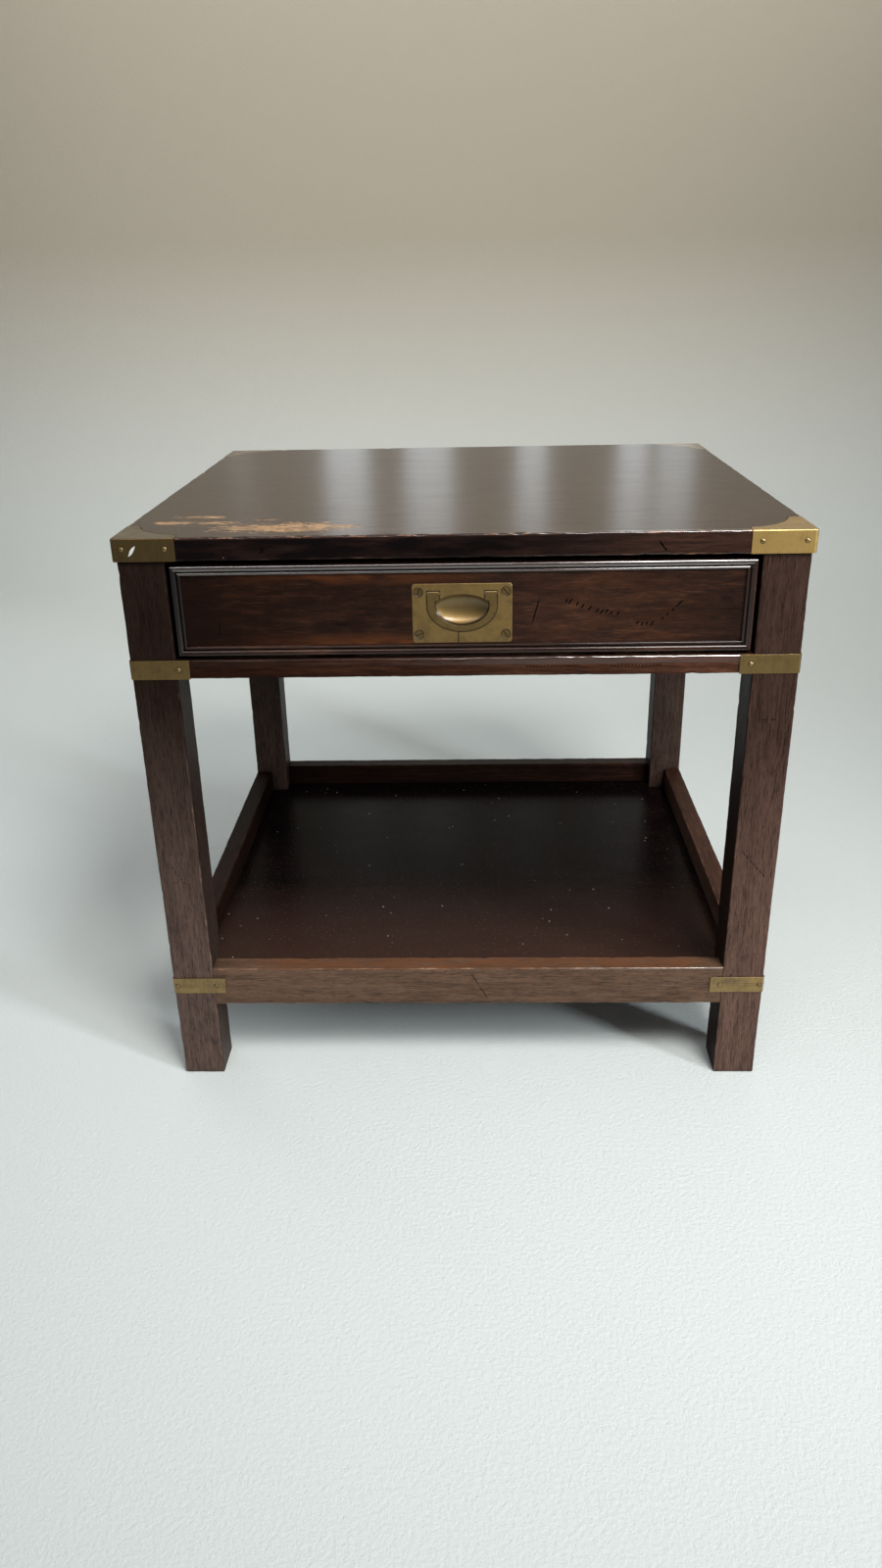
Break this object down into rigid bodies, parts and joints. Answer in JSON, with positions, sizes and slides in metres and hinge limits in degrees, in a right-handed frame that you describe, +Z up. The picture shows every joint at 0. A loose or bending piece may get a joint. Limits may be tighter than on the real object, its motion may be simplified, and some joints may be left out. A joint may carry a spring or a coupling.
{
  "type": "side table with drawer",
  "caption": "Square-legged campaign side table with a sliding drawer, a swinging flush bail pull, a low tray shelf, and brass corners and straps.",
  "frame": {"origin": "on the floor under the middle of the table", "axes": "+X to the right of a person facing the drawer, +Y towards the back, so the drawer opens along -Y, +Z up"},
  "size_m": [0.6126, 0.5606, 0.5735],
  "materials": {
    "stained_wood": "dark stained open-grained hardwood under old satin polish, worn lighter on the arrises",
    "secondary_wood": "plain oiled hardwood, unpolished",
    "brass": "aged, unlacquered, tarnished darker in places",
    "steel": "dull old steel"
  },
  "bodies": {
    "carcass": {"top_board": "stained_wood", "brass_corner_front_left": "brass", "brass_corner_front_right": "brass", "brass_corner_back_left": "brass", "brass_corner_back_right": "brass", "corner_pins": "brass", "leg_front_left": "stained_wood", "leg_front_right": "stained_wood", "leg_back_left": "stained_wood", "leg_back_right": "stained_wood", "drawer_rail": "stained_wood", "side_apron_left": "stained_wood", "side_apron_right": "stained_wood", "back_apron": "stained_wood", "shelf_rail_front": "stained_wood", "shelf_rail_back": "stained_wood", "shelf_rail_left": "stained_wood", "shelf_rail_right": "stained_wood", "shelf_panel": "stained_wood", "drawer_runner_left": "secondary_wood", "drawer_guide_left": "secondary_wood", "drawer_kicker_left": "secondary_wood", "drawer_runner_right": "secondary_wood", "drawer_guide_right": "secondary_wood", "drawer_kicker_right": "secondary_wood", "drawer_stops": "secondary_wood", "top_screws": "steel", "upper_strap_front_left": "brass", "upper_strap_front_right": "brass", "upper_strap_back_left": "brass", "upper_strap_back_right": "brass", "upper_strap_pins": "brass", "lower_strap_front_left": "brass", "lower_strap_front_right": "brass", "lower_strap_back_left": "brass", "lower_strap_back_right": "brass", "lower_strap_pins": "brass"},
    "drawer": {"drawer_front": "stained_wood", "drawer_moulding_top": "stained_wood", "drawer_moulding_bottom": "stained_wood", "drawer_moulding_left": "stained_wood", "drawer_moulding_right": "stained_wood", "drawer_side_left": "secondary_wood", "drawer_side_right": "secondary_wood", "drawer_back": "secondary_wood", "drawer_bottom": "secondary_wood", "drawer_bottom_screws": "steel", "pull_plate": "brass", "pull_screws": "brass", "pull_hinge_pins": "steel"},
    "bail": {"pull_bail": "brass"}
  },
  "joints": [
    {"name": "drawer_slide", "type": "slide", "parent": "carcass", "child": "drawer", "axis": [0, -1, 0], "range_m": [0, 0.38]},
    {"name": "bail_hinge", "type": "hinge", "parent": "drawer", "child": "bail", "pos_m": [0, -0.2718, 0.5196], "axis": [-1, 0, 0], "range_deg": [0, 100]}
  ]
}
